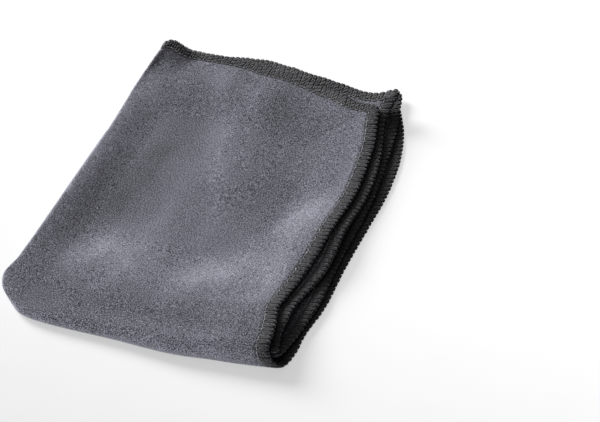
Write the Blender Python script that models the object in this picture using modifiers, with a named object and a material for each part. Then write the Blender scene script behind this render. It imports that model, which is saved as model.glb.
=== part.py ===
"""A microfibre cleaning cloth, folded in quarters and lying flat.

The cloth is one rectangular sheet with an overlocked hem. It is folded over once
along its left edge, which gives a double layer, and the double layer is folded
over again along its front edge. The four layers are, from the top:

    upper outer, upper inner, lower inner, lower outer

The two outer layers meet in the outer loop of the front fold, and the two inner
layers in the inner loop. Outer and inner layers meet in the left fold.

Metres, +Z up, +Y to the back. The origin is under the middle of the packet.
"""

import math
from collections import namedtuple

import bmesh
import bpy
import numpy as np

MM = 0.001

# The sheet
CLOTH_WIDTH = 0.305
CLOTH_LENGTH = 0.420
CLOTH_CORNER = 0.005
SHEET_THICKNESS = 0.0012
HEM_WIDTH = 0.0062
HEM_THICKNESS = 0.0022
HEM_RIM_THICKNESS = 0.0013
HEM_ROUNDING = 0.0008
HEM_STEP = 0.0015

# The folded packet
PACKET_WIDTH = 0.153
PACKET_DEPTH = 0.208
LAYER_AIR = 0.0005
LEFT_FOLD_EASING = 0.025
FRONT_FOLD_EASING = 0.020
FRONT_FOLD_LINE = (-0.005, 0.007)
HEM_RISE_X = (0.105, 0.140)
HEM_RISE_Y = (0.158, 0.192)

# The lower pair of layers lies further to the right than the upper pair
LOWER_SHIFT = 0.0095
LOWER_SHIFT_STARTS = 0.012
LOWER_SHIFT_LENGTH = 0.036

# The front left corner, where both folds meet, is rounded
CORNER_ROUND = 0.008
CORNER_REACH = 0.030

# Middle of the packet's outline, from the corner where its folds would cross
MIDDLE_X = 0.0819
MIDDLE_Y = 0.1108

# Rows of the tables, in millimetres
Edge = namedtuple("Edge", "along out")
Fold = namedtuple("Fold", "along depth")
Swell = namedtuple("Swell", "x y height reach_x reach_y")

# How far the left fold lies right of a straight line, from front to back
LEFT_OUTLINE = (
    Edge(0, -2.4),
    Edge(8, -2.7),
    Edge(18, -3.3),
    Edge(30, 0.0),
    Edge(42, 0.9),
    Edge(56, 1.3),
    Edge(98, 2.9),
    Edge(126, 3.5),
    Edge(150, 4.1),
    Edge(164, 3.5),
    Edge(179, 2.9),
    Edge(191, 3.8),
    Edge(208, 7.7),
)

# The same for the right hems, which run in a shallow S, from front to back
UPPER_RIGHT_OUTLINE = (
    Edge(0, 1.0),
    Edge(12, 0.0),
    Edge(20, -2.5),
    Edge(32, -4.5),
    Edge(42, -3.0),
    Edge(72, 2.0),
    Edge(102, 2.8),
    Edge(134, 4.2),
    Edge(166, 0.2),
    Edge(190, -5.3),
    Edge(207, -5.8),
)
LOWER_RIGHT_OUTLINE = (
    Edge(0, 1.0),
    Edge(26, -1.5),
    Edge(50, 1.2),
    Edge(80, 1.2),
    Edge(110, 2.2),
    Edge(140, 2.6),
    Edge(172, -0.5),
    Edge(195, -5.0),
    Edge(224, -14.0),
)

# How far the front fold and the back hems lie behind a straight line, left to right
FRONT_OUTLINE = (
    Edge(0, -1.8),
    Edge(41, -0.1),
    Edge(62, 0.9),
    Edge(103, 2.2),
    Edge(116, 4.4),
    Edge(131, 6.4),
    Edge(145, 9.0),
    Edge(153, 11.0),
)
UPPER_BACK_OUTLINE = (
    Edge(0, -4.5),
    Edge(3, -1.6),
    Edge(6, -0.4),
    Edge(10, -1.2),
    Edge(15, -1.6),
    Edge(20, -0.4),
    Edge(26, 1.0),
    Edge(38, 3.0),
    Edge(53, 5.2),
    Edge(72, 5.0),
    Edge(86, 5.8),
    Edge(100, 5.2),
    Edge(118, 2.2),
    Edge(131, -0.6),
    Edge(140, 0.6),
    Edge(153, 4.2),
)
LOWER_BACK_OUTLINE = (
    Edge(0, 1.0),
    Edge(26, -1.0),
    Edge(60, 0.0),
    Edge(105, -1.5),
    Edge(135, -3.0),
    Edge(146, 1.0),
    Edge(153, 4.5),
)

# Where the left fold lies on the cloth, along the cloth from its lower to its upper end
LEFT_FOLD_LINE = (
    Edge(-215, 1.5),
    Edge(-190, -1.5),
    Edge(-165, -2.9),
    Edge(-110, -2.0),
    Edge(-38, -1.2),
    Edge(0, 0.0),
    Edge(30, 2.0),
    Edge(72, 4.0),
    Edge(102, 3.0),
    Edge(166, 2.6),
    Edge(190, 1.7),
    Edge(215, 2.4),
)

# Half the height of the left fold's loop, from front to back
LEFT_FOLD_LOOP = (
    Fold(0, 1.2),
    Fold(30, 1.5),
    Fold(90, 2.1),
    Fold(150, 1.8),
    Fold(194, 1.7),
    Fold(206, 3.0),
    Fold(216, 3.2),
)

# How far the inner loop of the front fold lies inside the outer loop, left to right
FRONT_FOLD_DEPTH = (
    Fold(0, 2.6),
    Fold(40, 2.6),
    Fold(75, 3.6),
    Fold(100, 4.6),
    Fold(125, 5.2),
    Fold(153, 5.8),
)

# Where the upper pair stands higher than the layers need
SWELLS = (
    Swell(60, 34, 2.6, 85, 18),
    Swell(153, 26, 2.6, 40, 15),
    Swell(150, 92, 2.6, 20, 20),
    Swell(82, 160, 1.2, 13, 42),
    Swell(153, 212, 4.0, 28, 28),
    Swell(102, 214, 4.6, 28, 11),
    Swell(50, 214, 1.2, 30, 9),
)

# Where a single layer is pulled out of its place, on the flat cloth
Pull = namedtuple("Pull", "u v right back up reach_u reach_v")
PULLS = (
    Pull(-152.5, 210, 3.6, 3.6, 5.0, 9, 9),
    Pull(152.5, 210, 0.0, -0.8, 0.6, 12, 14),
    Pull(127, 210, 0.0, 1.4, 1.2, 10, 6),
    Pull(-130, 210, 0.0, 3.8, 0.0, 14, 20),
    Pull(-96, 210, 0.0, -1.4, 0.0, 9, 20),
    Pull(-69, 210, 0.0, 2.4, 0.0, 9, 20),
    Pull(-37, 210, 0.0, -1.9, 0.0, 12, 20),
    Pull(-152.5, 24, 2.6, 0.0, 0.0, 30, 11),
    Pull(152.5, 8, -1.8, 0.0, 0.0, 30, 12),
    Pull(152.5, 27, 1.2, 0.0, 0.0, 30, 8),
)

# Lines of the grid that the sheet is made from
FOLD_STEPS = 4
FLAT_STEPS_WIDTH = 13
FLAT_STEPS_LENGTH = 20
FLAT_GRADING = 1.35
CURVE_SAMPLES = 260
CURVE_TURN_SHARE = 0.25
CURVE_LENGTH = 0.245

FABRIC_COLOUR = (0.165, 0.158, 0.178, 1.0)
FABRIC_ROUGHNESS = 0.92


def ease(t):
    """Rises smoothly from 0 to 1."""
    t = np.clip(t, 0.0, 1.0)
    return t * t * (3.0 - 2.0 * t)


def through(table, at):
    """A smooth curve through the rows of a table, read at the given places."""
    rows = np.asarray(table, float) * MM
    places, values = rows[:, 0], rows[:, 1]
    slopes = np.gradient(values, places)
    at = np.clip(at, places[0], places[-1])
    i = np.clip(np.searchsorted(places, at) - 1, 0, len(places) - 2)
    step = places[i + 1] - places[i]
    q = (at - places[i]) / step
    return (
        (2 * q**3 - 3 * q**2 + 1) * values[i]
        + (q**3 - 2 * q**2 + q) * step * slopes[i]
        + (3 * q**2 - 2 * q**3) * values[i + 1]
        + (q**3 - q**2) * step * slopes[i + 1]
    )


def hem_nearness(x, y):
    """1 where the hems lie on each other, 0 in the middle of the packet."""
    right = ease((x - HEM_RISE_X[0]) / (HEM_RISE_X[1] - HEM_RISE_X[0]))
    back = ease((y - HEM_RISE_Y[0]) / (HEM_RISE_Y[1] - HEM_RISE_Y[0]))
    return np.maximum(right, back)


def layer_pitch(x, y):
    """Middle to middle of two layers that lie on each other."""
    extra = (HEM_THICKNESS - SHEET_THICKNESS) * hem_nearness(x, y)
    return SHEET_THICKNESS + LAYER_AIR + extra


def hem_lift(x, y):
    """What the hem of the lowest layer adds under the layers above it."""
    return 0.5 * (HEM_THICKNESS - SHEET_THICKNESS) * hem_nearness(x, y)


def left_fold_radius(y):
    """Bend of the left fold, which is puffed and wider still where the hem is folded."""
    return through(LEFT_FOLD_LOOP, y)


def pair_depth(x, y, lower):
    """From an outer layer to its inner layer."""
    far = layer_pitch(x, y) + lower * hem_lift(x, y)
    at_front = through(FRONT_FOLD_DEPTH, x)
    flat = far + (at_front - far) * np.exp(-((y / FRONT_FOLD_EASING) ** 2))
    at_left = 2.0 * left_fold_radius(y)
    return at_left + (flat - at_left) * ease(x / LEFT_FOLD_EASING)


def swelling(x, y):
    """How much higher the upper pair stands than its layers need."""
    total = 0.0
    for s in SWELLS:
        across = (x - s.x * MM) / (s.reach_x * MM)
        along = (y - s.y * MM) / (s.reach_y * MM)
        total = total + s.height * MM * np.exp(-(across**2) - along**2)
    return total


def packet_height(x, y):
    """From the lower outer layer to the upper outer layer."""
    pairs = pair_depth(x, y, 0.0) + pair_depth(x, y, 1.0)
    return pairs + layer_pitch(x, y) + swelling(x, y)


def section(x, inward, lower):
    """Lines of the packet's section at each x, from the front fold to the back.

    inward is 0 on the outer layer and 1 on the inner one. Gives the length along
    the line, y and z, with a row for each x.
    """
    x = x[:, None]
    inward = inward[:, None]
    lower = lower[:, None]
    bend = 0.5 * packet_height(x, np.zeros_like(x))
    share = np.linspace(0.0, 1.0, CURVE_SAMPLES)[None, :]
    turn = np.clip(share / CURVE_TURN_SHARE, 0.0, 1.0) * math.pi / 2
    run = np.clip((share - CURVE_TURN_SHARE) / (1 - CURVE_TURN_SHARE), 0.0, 1.0)
    y = bend * (1 - np.cos(turn)) + run * CURVE_LENGTH
    half = 0.5 * packet_height(x, y)
    side = 1.0 - 2.0 * lower
    z = 0.5 * SHEET_THICKNESS + half + side * half * np.sin(turn)

    along_y, along_z = np.gradient(y, axis=1), np.gradient(z, axis=1)
    length = np.hypot(along_y, along_z)
    depth = inward * pair_depth(x, y, lower)
    line_y = y + depth * side * along_z / length
    line_z = z - depth * side * along_y / length

    steps = np.hypot(np.diff(line_y, axis=1), np.diff(line_z, axis=1))
    start = np.zeros((len(steps), 1))
    return np.hstack([start, np.cumsum(steps, axis=1)]), line_y, line_z


def folded(across, along, thickness):
    """Places of points of the sheet's middle surface in the folded packet.

    across is the way from the left fold, negative on the inner layers, and along
    the way from the front fold, negative on the lower layers.
    """
    radius = left_fold_radius(np.abs(along))
    angle = np.clip(across / radius, -math.pi / 2, math.pi / 2)
    straight = np.clip(np.abs(across) - radius * math.pi / 2, 0.0, None)
    x = radius * (1 - np.cos(angle)) + straight
    inward = 0.5 * (1 - np.sin(angle))
    lower = (along < 0).astype(float)

    lengths, line_y, line_z = section(x, inward, lower)
    want = np.abs(along)
    y = np.array([np.interp(w, s, line) for w, s, line in zip(want, lengths, line_y)])
    z = np.array([np.interp(w, s, line) for w, s, line in zip(want, lengths, line_z)])
    hem_on_floor = 0.5 * (thickness - SHEET_THICKNESS) * lower * (1 - inward)
    return outlined(x, y, z + hem_on_floor, along)


def outlined(x, y, z, along):
    """Moves the straight-sided packet to its own uneven outline."""
    low = ease((LOWER_SHIFT_STARTS - along) / LOWER_SHIFT_LENGTH)
    right_share = x / PACKET_WIDTH
    back_share = y / PACKET_DEPTH
    right = (1 - low) * through(UPPER_RIGHT_OUTLINE, y)
    right = right + low * through(LOWER_RIGHT_OUTLINE, y)
    corner_x = np.exp(-y / CORNER_ROUND - x / CORNER_REACH)
    corner_y = np.exp(-x / CORNER_ROUND - y / CORNER_REACH)

    shift_x = through(LEFT_OUTLINE, y) * (1 - right_share) + right * right_share
    shift_y = through(FRONT_OUTLINE, x) * (1 - back_share)
    back = (1 - low) * through(UPPER_BACK_OUTLINE, x) + low * through(LOWER_BACK_OUTLINE, x)
    shift_y = shift_y + back * back_share
    new_x = x + LOWER_SHIFT * low + shift_x + CORNER_ROUND * corner_x
    new_y = y + shift_y + CORNER_ROUND * corner_y
    return np.column_stack([new_x - MIDDLE_X, new_y - MIDDLE_Y, z])


def pulled(u, v):
    """What single layers are pulled out of place, at places on the flat cloth."""
    total = np.zeros((len(u), 3))
    for p in PULLS:
        aside = (u - p.u * MM) / (p.reach_u * MM)
        away = (v - p.v * MM) / (p.reach_v * MM)
        share = np.exp(-(aside**2) - away**2)
        total += share[:, None] * np.array([p.right, p.back, p.up]) * MM
    return total


def rounded_corners(u, v):
    """Draws the square corners of the grid in to round ones."""
    inner_u, inner_v = 0.5 * CLOTH_WIDTH - CLOTH_CORNER, 0.5 * CLOTH_LENGTH - CLOTH_CORNER
    over_u = np.clip(np.abs(u) - inner_u, 0.0, None)
    over_v = np.clip(np.abs(v) - inner_v, 0.0, None)
    reach = np.maximum(np.hypot(over_u, over_v), 0.001 * MM)
    in_corner = (over_u > 0) & (over_v > 0)
    share = np.where(in_corner, np.maximum(over_u, over_v) / reach, 1.0)
    new_u = np.sign(u) * (np.minimum(np.abs(u), inner_u) + over_u * share)
    new_v = np.sign(v) * (np.minimum(np.abs(v), inner_v) + over_v * share)
    return new_u, new_v


def half_lines(half, bend, flat_steps):
    """Distances from a fold to the edge: close in the bend and in the hem."""
    fold = np.linspace(0.0, bend, FOLD_STEPS + 1)
    hem_starts = half - HEM_WIDTH - HEM_STEP
    shares = np.linspace(0.0, 1.0, flat_steps + 1)[1:] ** FLAT_GRADING
    flat = bend + (hem_starts - bend) * shares
    hem = half - np.array([HEM_WIDTH, 0.5 * HEM_WIDTH, HEM_ROUNDING, 0.0])
    return np.concatenate([fold, flat, hem])


def grid_lines(half, bend, flat_steps):
    """The same for both sides of a fold, the one side negative."""
    lines = half_lines(half, bend, flat_steps)
    return np.concatenate([-lines[:0:-1], lines])


def slid(line, half, shift):
    """Moves lines with the fold that they are measured from, and not in its bend."""
    share = ease(np.abs(line) / (half - HEM_WIDTH))
    return line - shift * share


def sheet_thickness(edge):
    """Thickness at a distance from the sheet's edge, with a thick, rounded hem."""
    step = ease((edge - HEM_WIDTH) / HEM_STEP)
    body = HEM_THICKNESS + (SHEET_THICKNESS - HEM_THICKNESS) * step
    rim = ease(edge / HEM_ROUNDING)
    return HEM_RIM_THICKNESS + (body - HEM_RIM_THICKNESS) * rim


def fabric_material():
    """Dark grey suede-like microfibre."""
    material = bpy.data.materials.new("fabric")
    material.use_nodes = True
    shader = material.node_tree.nodes["Principled BSDF"]
    shader.inputs["Base Color"].default_value = FABRIC_COLOUR
    shader.inputs["Roughness"].default_value = FABRIC_ROUGHNESS
    shader.inputs["Metallic"].default_value = 0.0
    return material


def fold_cloth(collection):
    """The cloth: a grid laid along the folds, thickened to a closed sheet."""
    half_width, half_length = 0.5 * CLOTH_WIDTH, 0.5 * CLOTH_LENGTH
    left_bend = left_fold_radius(PACKET_DEPTH) * math.pi / 2
    front_bend = 0.5 * packet_height(PACKET_WIDTH, 0.0) * math.pi / 2
    columns = grid_lines(half_width, left_bend, FLAT_STEPS_WIDTH)
    rows = grid_lines(half_length, front_bend, FLAT_STEPS_LENGTH)

    mesh = bmesh.new()
    bmesh.ops.create_grid(
        mesh, x_segments=len(columns) - 1, y_segments=len(rows) - 1, size=1.0
    )
    flat = np.array([v.co[:2] for v in mesh.verts])
    column = np.rint(0.5 * (flat[:, 0] + 1) * (len(columns) - 1)).astype(int)
    row = np.rint(0.5 * (flat[:, 1] + 1) * (len(rows) - 1)).astype(int)
    u, v = columns[column], rows[row]
    edge = np.minimum(half_width - np.abs(u), half_length - np.abs(v))
    thickness = sheet_thickness(edge)

    u, v = rounded_corners(u, v)
    across = slid(u, half_width, through(LEFT_FOLD_LINE, v))
    from_left = np.abs(across) / PACKET_WIDTH
    front_line = FRONT_FOLD_LINE[0] + np.diff(FRONT_FOLD_LINE)[0] * from_left
    along = slid(v, half_length, front_line)
    for vertex, place in zip(mesh.verts, folded(across, along, thickness) + pulled(u, v)):
        vertex.co = place

    data = bpy.data.meshes.new("cloth")
    mesh.to_mesh(data)
    mesh.free()
    data.shade_smooth()
    data.materials.append(fabric_material())
    cloth = bpy.data.objects.new("cloth", data)
    collection.objects.link(cloth)

    group = cloth.vertex_groups.new(name="thickness")
    for index, value in enumerate(thickness):
        group.add([index], float(value / HEM_THICKNESS), "REPLACE")
    solidify = cloth.modifiers.new("thickness", "SOLIDIFY")
    solidify.thickness = HEM_THICKNESS
    solidify.offset = 0.0
    solidify.vertex_group = group.name
    return cloth


def main():
    for old in list(bpy.data.objects):
        bpy.data.objects.remove(old)
    collection = bpy.data.collections.new("folded microfibre cloth")
    bpy.context.scene.collection.children.link(collection)
    fold_cloth(collection)


main()
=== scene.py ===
"""Looks of a microfibre cleaning cloth, folded in quarters and lying flat.

The cloth is one rectangular sheet of suede-like microfibre with an overlocked hem.
It is folded over along its left edge and then along its front edge, so there are four
layers: upper outer, upper inner, lower inner and lower outer.

Places on the flat cloth are given as u, across it from its middle, and v, along it
from its middle. Metres, +Z up, +Y to the back.
"""

import math
from collections import namedtuple

import bpy
import numpy as np
from bpy.props import FloatProperty, FloatVectorProperty, IntProperty, PointerProperty
from mathutils import Matrix, Vector


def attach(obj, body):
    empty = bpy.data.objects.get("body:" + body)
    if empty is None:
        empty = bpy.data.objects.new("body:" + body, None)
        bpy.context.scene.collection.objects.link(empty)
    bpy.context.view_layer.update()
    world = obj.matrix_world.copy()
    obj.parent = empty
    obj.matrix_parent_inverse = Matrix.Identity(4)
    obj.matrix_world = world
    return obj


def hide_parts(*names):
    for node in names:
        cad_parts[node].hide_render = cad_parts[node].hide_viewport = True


bl_info = {
    "name": "Folded microfibre cloth",
    "version": (1, 0, 0),
    "blender": (4, 5, 0),
    "location": "3D View > Sidebar > Folded cloth",
    "description": "Lays a folded cloth, overlocks its hem and sets up a small studio",
    "category": "Object",
}

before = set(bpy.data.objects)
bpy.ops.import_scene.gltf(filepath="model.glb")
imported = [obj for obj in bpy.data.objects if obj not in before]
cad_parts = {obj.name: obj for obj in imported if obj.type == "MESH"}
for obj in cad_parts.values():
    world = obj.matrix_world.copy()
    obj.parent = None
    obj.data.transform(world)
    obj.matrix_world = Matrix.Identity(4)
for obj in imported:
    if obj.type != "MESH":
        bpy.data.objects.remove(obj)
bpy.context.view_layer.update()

MM = 0.001
NODE = "cloth"
BODY = "root"
SEED = 7

# The packet's own measures, which its tables below go with
PACKET_WIDTH = 0.153
PACKET_DEPTH = 0.208
HEM_RISE_X = (0.105, 0.140)
HEM_RISE_Y = (0.158, 0.192)
LEFT_FOLD_EASING = 0.025
FRONT_FOLD_EASING = 0.020
FRONT_FOLD_LINE = (-0.005, 0.007)
LOWER_SHIFT = 0.0095
LOWER_SHIFT_STARTS = 0.012
LOWER_SHIFT_LENGTH = 0.036
CORNER_ROUND = 0.008
CORNER_REACH = 0.030
MIDDLE_X = 0.0819
MIDDLE_Y = 0.1108
CURVE_SAMPLES = 260
CURVE_TURN_SHARE = 0.25
CURVE_LENGTH = 0.245
CURVE_BLOCK = 4000
NORMAL_STEP = 0.0003
HEM_STEP = 0.0015

# The sheet's mesh lines about the hem, in millimetres: how far inside its inner line the
# even ones end, then each line from that inner line and from the rim
EVEN_LINES_END = 2.4
LINES_INSIDE_HEM = (1.2, 0.5, 0.0, -0.8)
LINES_FROM_RIM = (1.4, 0.5, 0.0)

# How stitches differ, as shares of the yarn's unevenness
STEP_DIFFERS = 0.6
RIM_DIFFERS = 1.6
HEIGHT_DIFFERS = 0.5
WIDTH_DIFFERS = 0.7
RIM_BAND = 0.002
LOOP_REACH = 0.0006

# Patterns, in repeats a metre along their axes
FABRIC_GRAIN = 1750.0
FABRIC_FIBRES = (3200.0, 1100.0, 1.0)
FABRIC_CLOUDS = 26.0
FABRIC_MOTTLE = 120.0
NAP_AND_PAINTED_SHADING_BREAKS = (90.0, 45.0, 45.0)
FINE_GRAIN_TIMES = 2.3
FINE_GRAIN_SHARE = 0.4
YARN_GRAIN = 2200.0
YARN_CLOUDS = 300.0
YARN_TWISTS = 420.0
YARN_FILAMENTS = (700.0, 13.0, 1.0)
PAPER_TOOTH = 40.0

# Where a noise has most of its values
NOISE_LOW = 0.3
NOISE_HIGH = 0.7
GRAIN_LOW = 0.33
GRAIN_HIGH = 0.67

# How much each pattern lightens the fabric and the yarn
GRAIN_TONE = 3.20
GRAIN_BASE = -1.28
FIBRE_TONE = 0.22
CLOUD_TONE = 0.10
MOTTLE_TONE = 0.04
NAP_AND_PAINTED_SHADING_TONE = 0.75
NEEDLE_LINE_PAINTED_SHADE = -0.55
DARKEST = -0.2
YARN_BASE = 0.45
TWIST_TONE = 0.22
FILAMENT_TONE = 0.22
YARN_GRAIN_TONE = 0.2
TWIST_WANDER = 0.6

# The needle holes' line inside the hem, and how much of it lies between the holes
HOLES_INSIDE_HEM = 0.0005
HOLES_REACH = 0.0007
HOLES_EVEN = 0.65
HOLES_BEAT = 0.35

# The stage: the paper's two greys, the packet's half sides on it, how far from them the
# paper throws its full light, how far across the light and the bounces fade to the
# right, how that line slants, and where and how much the paper itself glows. The glow
# the camera sees is painted light, weaker towards the front as a broad painted shadow
PAPER_GREYS = ((0.33, 0.33, 0.335), (0.35, 0.35, 0.355))
PACKET_HALF_X = 0.085
PACKET_HALF_Y = 0.112
THROW_DISTANCE = 0.06
LIGHT_FADES = 0.14
BOUNCE_FADES = 0.10
PAPER_SLANT = 0.35
PAPER_GLOW_Y = (-0.20, -0.02)
PAPER_GLOW = (0.40, 0.60)
SKY_SIDE = (-0.90, -0.10, 0.25)
SUN_SPREAD = math.radians(26)
SUN_TURN = (math.radians(-18), math.radians(-60), 0.0)
SENSOR_WIDTH = 36.0
FARTHEST_SEEN = 50.0

# Rows of the tables, in millimetres
Edge = namedtuple("Edge", "along out")
Fold = namedtuple("Fold", "along depth")
Swell = namedtuple("Swell", "x y height reach_x reach_y")

# How far the left fold lies right of a straight line, from front to back
LEFT_OUTLINE = (
    Edge(0, -2.4),
    Edge(8, -2.7),
    Edge(18, -3.3),
    Edge(30, 0.0),
    Edge(42, 0.9),
    Edge(56, 1.3),
    Edge(98, 2.9),
    Edge(126, 3.5),
    Edge(150, 4.1),
    Edge(164, 3.5),
    Edge(179, 2.9),
    Edge(191, 3.8),
    Edge(208, 7.7),
)

# The same for the right hems, which run in a shallow S, from front to back
UPPER_RIGHT_OUTLINE = (
    Edge(0, 1.0),
    Edge(12, 0.0),
    Edge(20, -2.5),
    Edge(32, -4.5),
    Edge(42, -3.0),
    Edge(72, 2.0),
    Edge(102, 2.8),
    Edge(134, 4.2),
    Edge(166, 0.2),
    Edge(190, -5.3),
    Edge(207, -5.8),
)
LOWER_RIGHT_OUTLINE = (
    Edge(0, 1.0),
    Edge(26, -1.5),
    Edge(50, 1.2),
    Edge(80, 1.2),
    Edge(110, 2.2),
    Edge(140, 2.6),
    Edge(172, -0.5),
    Edge(195, -5.0),
    Edge(224, -14.0),
)

# How far the front fold and the back hems lie behind a straight line, left to right
FRONT_OUTLINE = (
    Edge(0, -1.8),
    Edge(41, -0.1),
    Edge(62, 0.9),
    Edge(103, 2.2),
    Edge(116, 4.4),
    Edge(131, 6.4),
    Edge(145, 9.0),
    Edge(153, 11.0),
)
UPPER_BACK_OUTLINE = (
    Edge(0, -4.5),
    Edge(3, -1.6),
    Edge(6, -0.4),
    Edge(10, -1.2),
    Edge(15, -1.6),
    Edge(20, -0.4),
    Edge(26, 1.0),
    Edge(38, 3.0),
    Edge(53, 5.2),
    Edge(72, 5.0),
    Edge(86, 5.8),
    Edge(100, 5.2),
    Edge(118, 2.2),
    Edge(131, -0.6),
    Edge(140, 0.6),
    Edge(153, 4.2),
)
LOWER_BACK_OUTLINE = (
    Edge(0, 1.0),
    Edge(26, -1.0),
    Edge(60, 0.0),
    Edge(105, -1.5),
    Edge(135, -3.0),
    Edge(146, 1.0),
    Edge(153, 4.5),
)

# Where the left fold lies on the cloth, along the cloth from its lower to its upper end
LEFT_FOLD_LINE = (
    Edge(-215, 1.5),
    Edge(-190, -1.5),
    Edge(-165, -2.9),
    Edge(-110, -2.0),
    Edge(-38, -1.2),
    Edge(0, 0.0),
    Edge(30, 2.0),
    Edge(72, 4.0),
    Edge(102, 3.0),
    Edge(166, 2.6),
    Edge(190, 1.7),
    Edge(215, 2.4),
)

# Half the height of the left fold's loop, from front to back
LEFT_FOLD_LOOP = (
    Fold(0, 1.2),
    Fold(30, 1.5),
    Fold(90, 2.1),
    Fold(150, 1.8),
    Fold(194, 1.7),
    Fold(206, 3.0),
    Fold(216, 3.2),
)

# How far the inner loop of the front fold lies inside the outer loop, left to right
FRONT_FOLD_DEPTH = (
    Fold(0, 2.6),
    Fold(40, 2.6),
    Fold(75, 3.6),
    Fold(100, 4.6),
    Fold(125, 5.2),
    Fold(153, 5.8),
)

# Where the upper pair stands higher than the layers need
SWELLS = (
    Swell(60, 34, 2.6, 85, 18),
    Swell(153, 26, 2.6, 40, 15),
    Swell(150, 92, 2.6, 20, 20),
    Swell(82, 160, 1.2, 13, 42),
    Swell(153, 212, 4.0, 28, 28),
    Swell(102, 214, 4.6, 28, 11),
    Swell(50, 214, 1.2, 30, 9),
)

# How the fabric's thickness changes near the hem's inner line: the needle yarn draws it
# in, the loops press the hem, and it swells beside them. share is of the fabric's own
# thickness, away is how far inside that line it is, in millimetres
Change = namedtuple("Change", "share away reach")
DRAWN_IN = Change(0.30, 0.0, 0.9)
PRESSED = Change(0.12, 0.0, 1.0)
SWOLLEN = Change(0.22, 3.2, 1.8)
RIM_REACH = 1.2

# Where a single layer is pulled out of its place, on the flat cloth
Pull = namedtuple("Pull", "u v right back up reach_u reach_v")
PULLS = (
    Pull(-152.5, 210, 3.6, 3.6, 5.0, 9, 9),
    Pull(152.5, 210, 0.0, -0.8, 0.6, 12, 14),
    Pull(127, 210, 0.0, 1.4, 1.2, 10, 6),
    Pull(-130, 210, 0.0, 3.8, 0.0, 14, 20),
    Pull(-96, 210, 0.0, -1.4, 0.0, 9, 20),
    Pull(-69, 210, 0.0, 2.4, 0.0, 9, 20),
    Pull(-37, 210, 0.0, -1.9, 0.0, 12, 20),
    Pull(-152.5, 24, 2.6, 0.0, 0.0, 30, 11),
    Pull(152.5, 8, -1.8, 0.0, 0.0, 30, 12),
    Pull(152.5, 27, 1.2, 0.0, 0.0, 30, 8),
)

# Streaks painted into the fabric's colour: partly nap that a hand leaves, lighter where it
# lies one way and darker the other, and partly painted light and painted shade where the
# top's swells and the front roll face the light or turn from it, with a painted highlight
# along the left rim. turn is in degrees, from the left fold's way to the back
Mark = namedtuple("Mark", "x y tone length width turn")
NAP_AND_PAINTED_SHADING_MARKS = (
    Mark(40, 57, 0.85, 25, 11, 50),
    Mark(102, 59, 0.95, 25, 11, 50),
    Mark(133, 112, 1.00, 21, 9, 60),
    Mark(132, 64, 0.80, 18, 7, 90),
    Mark(60, 50, 0.50, 26, 12, 60),
    Mark(60, 100, 0.32, 30, 8, 85),
    Mark(67, 146, 0.50, 44, 7, -72),
    Mark(46, 196, 0.32, 15, 7, -70),
    Mark(72, 192, 0.32, 17, 6, -75),
    Mark(143, 160, 0.55, 42, 7, 95),
    Mark(5, 114, 0.50, 32, 8, 86),
    Mark(34, 106, -0.34, 42, 9, 82),
    Mark(88, 182, -0.25, 24, 12, 90),
    Mark(100, 18, -0.32, 52, 8, 0),
    Mark(116, 28, -0.30, 28, 12, 0),
    Mark(40, 134, -0.20, 20, 8, 80),
    Mark(118, 104, -0.34, 26, 8, 88),
    Mark(112, 142, -0.26, 34, 12, 80),
)


class ClothSizes(bpy.types.PropertyGroup):
    """Sizes of the cloth before and after it is folded."""

    width: FloatProperty(
        name="Width", description="Width of the flat cloth", default=0.305,
        unit="LENGTH", precision=4,
    )
    length: FloatProperty(
        name="Length", description="Length of the flat cloth", default=0.420,
        unit="LENGTH", precision=4,
    )
    thickness: FloatProperty(
        name="Thickness", description="Thickness of the fabric", default=0.0012,
        unit="LENGTH", precision=5,
    )
    rim_thickness: FloatProperty(
        name="Rim", description="Thickness at the fabric's cut edge", default=0.0006,
        unit="LENGTH", precision=5,
    )
    corner: FloatProperty(
        name="Corner", description="Radius of the cloth's corners", default=0.005,
        unit="LENGTH", precision=4,
    )
    hem_width: FloatProperty(
        name="Hem", description="Width of the overlocked hem", default=0.0054,
        unit="LENGTH", precision=5,
    )
    hem_thickness: FloatProperty(
        name="Hem thickness", description="Thickness of the hem with its yarn", default=0.0022,
        unit="LENGTH", precision=5,
    )
    layer_air: FloatProperty(
        name="Air", description="Gap between two layers", default=0.0005,
        unit="LENGTH", precision=5,
    )
    cell: FloatProperty(
        name="Cell", description="Size of the sheet's mesh cells", default=0.0019,
        unit="LENGTH", precision=5,
    )
    fold_steps: IntProperty(
        name="Fold steps", description="Mesh cells from the middle of the left fold",
        default=8, min=3,
    )


class YarnSizes(bpy.types.PropertyGroup):
    """Sizes of the overlock stitches."""

    pitch: FloatProperty(
        name="Stitch", description="Length of one stitch", default=0.0031,
        unit="LENGTH", precision=5,
    )
    half_width: FloatProperty(
        name="Yarn width", description="Half the width of the bulky yarn", default=0.00086,
        unit="LENGTH", precision=5,
    )
    half_height: FloatProperty(
        name="Yarn height", description="Half the height of the bulky yarn", default=0.00025,
        unit="LENGTH", precision=5,
    )
    needle_radius: FloatProperty(
        name="Needle yarn", description="Radius of the needle yarn", default=0.00030,
        unit="LENGTH", precision=5,
    )
    sides: IntProperty(name="Sides", description="Sides of a yarn's mesh", default=6, min=3)
    unevenness: FloatProperty(
        name="Unevenness", description="Share by which stitches differ", default=0.10,
        subtype="FACTOR",
    )


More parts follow.
